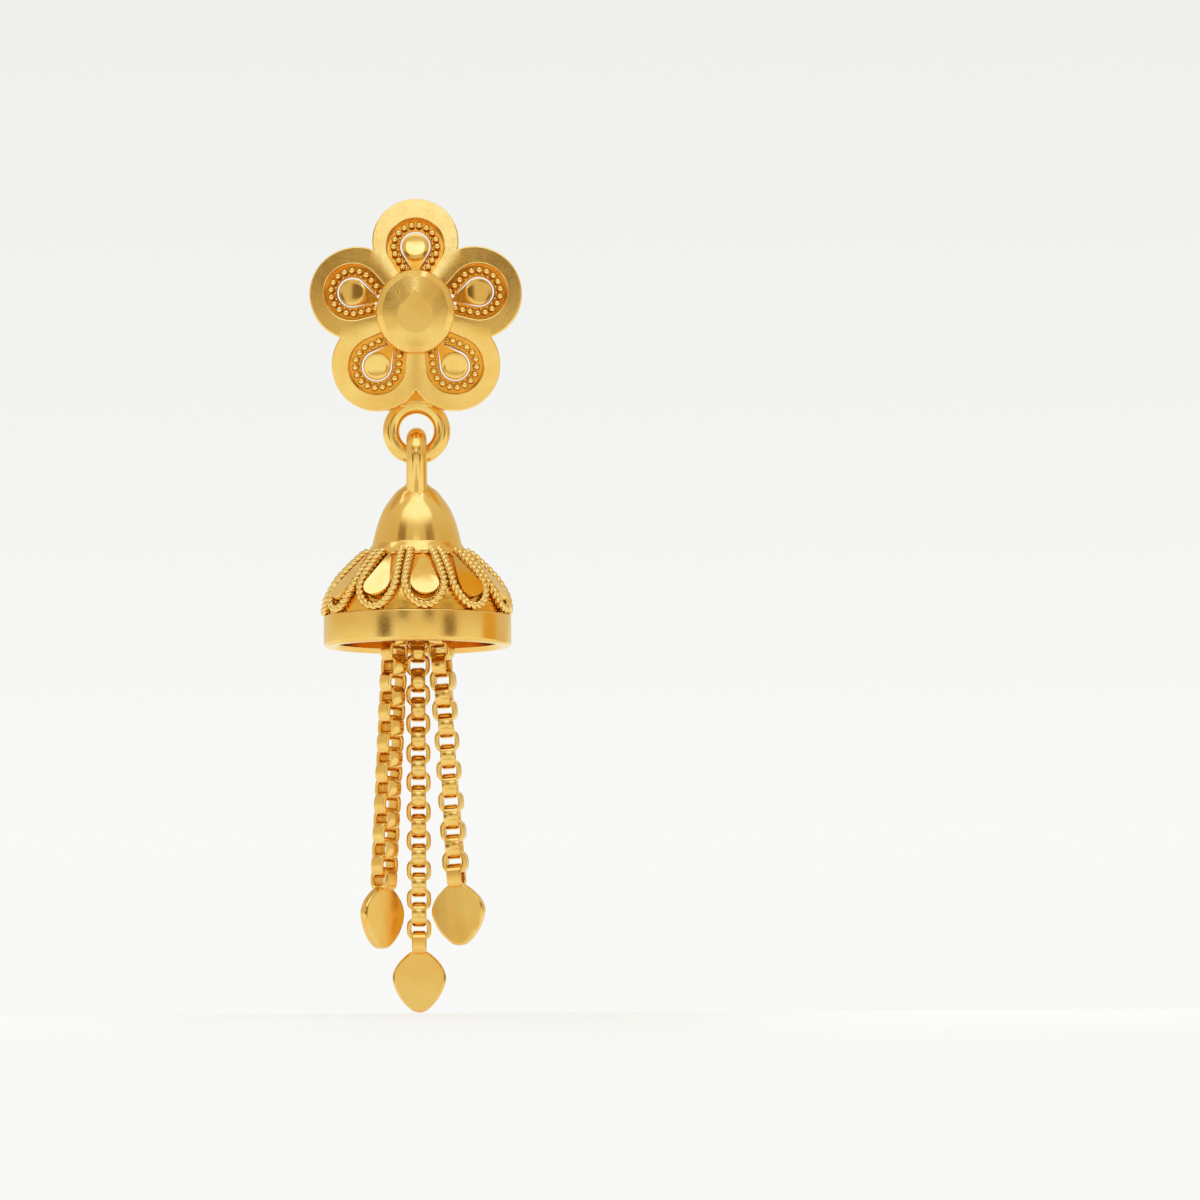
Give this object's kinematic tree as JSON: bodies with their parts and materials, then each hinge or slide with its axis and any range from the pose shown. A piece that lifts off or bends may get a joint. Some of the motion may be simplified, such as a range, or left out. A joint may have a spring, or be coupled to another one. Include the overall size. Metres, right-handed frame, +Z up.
{
  "type": "drop earring",
  "caption": "Gold drop earring: pierced flower stud with beaded petals, hanging ring, filigree bell and box chains ending in flat leaves.",
  "frame": {"origin": "on the ear post's axis, in the plane where the stud meets the ear, which is the point that the earring hangs from", "axes": "+Z up, the flower faces -Y, the ear post points along +Y into the ear, +X is the wearer's and the viewer's right when facing the flower"},
  "size_m": [0.012, 0.0147, 0.0464],
  "materials": {
    "satin_gold": "brushed satin yellow gold with fine scratches and a bright polished bevel",
    "polished_gold": "mirror polished yellow gold",
    "beadwork_gold": "granulation beads on a deep yellow soldered strip",
    "rope_gold": "twisted wire and small polished teardrops, pale yellow gold",
    "recess_gold": "deep orange yellow gold inside recesses, soft polish",
    "chain_gold": "polished yellow gold, softly rounded edges",
    "leaf_gold": "fine satin yellow gold with a bright chamfer"
  },
  "bodies": {
    "top": {"flower_plate": "satin_gold", "bead_loop_1": "beadwork_gold", "bead_loop_2": "beadwork_gold", "bead_loop_3": "beadwork_gold", "bead_loop_4": "beadwork_gold", "bead_loop_5": "beadwork_gold", "petal_disc_1": "polished_gold", "petal_disc_2": "polished_gold", "petal_disc_3": "polished_gold", "petal_disc_4": "polished_gold", "petal_disc_5": "polished_gold", "flower_boss": "satin_gold", "ear_post": "polished_gold", "hanging_ring": "polished_gold"},
    "drop": {"bell_cap": "polished_gold", "bell_skirt": "recess_gold", "rope_loop_1": "rope_gold", "rope_loop_2": "rope_gold", "rope_loop_3": "rope_gold", "rope_loop_4": "rope_gold", "rope_loop_5": "rope_gold", "rope_loop_6": "rope_gold", "rope_loop_7": "rope_gold", "rope_loop_8": "rope_gold", "rope_loop_9": "rope_gold", "rope_loop_10": "rope_gold", "rope_loop_11": "rope_gold", "bell_band": "satin_gold", "chain_hanger": "recess_gold", "chain_left_1": "chain_gold", "chain_left_2": "chain_gold", "chain_left_3": "chain_gold", "chain_left_4": "chain_gold", "chain_left_5": "chain_gold", "chain_centre_1": "chain_gold", "chain_centre_2": "chain_gold", "chain_centre_3": "chain_gold", "chain_centre_4": "chain_gold", "chain_centre_5": "chain_gold", "chain_centre_6": "chain_gold", "chain_right_1": "chain_gold", "chain_right_2": "chain_gold", "chain_right_3": "chain_gold", "chain_right_4": "chain_gold", "chain_right_5": "chain_gold", "leaf_left": "leaf_gold", "leaf_centre": "leaf_gold", "leaf_right": "leaf_gold"}
  },
  "joints": [
    {"name": "drop_swing", "type": "hinge", "parent": "top", "child": "drop", "pos_m": [0, -0.00013, -0.00812], "axis": [1, 0, 0], "range_deg": [-60, 60]}
  ]
}
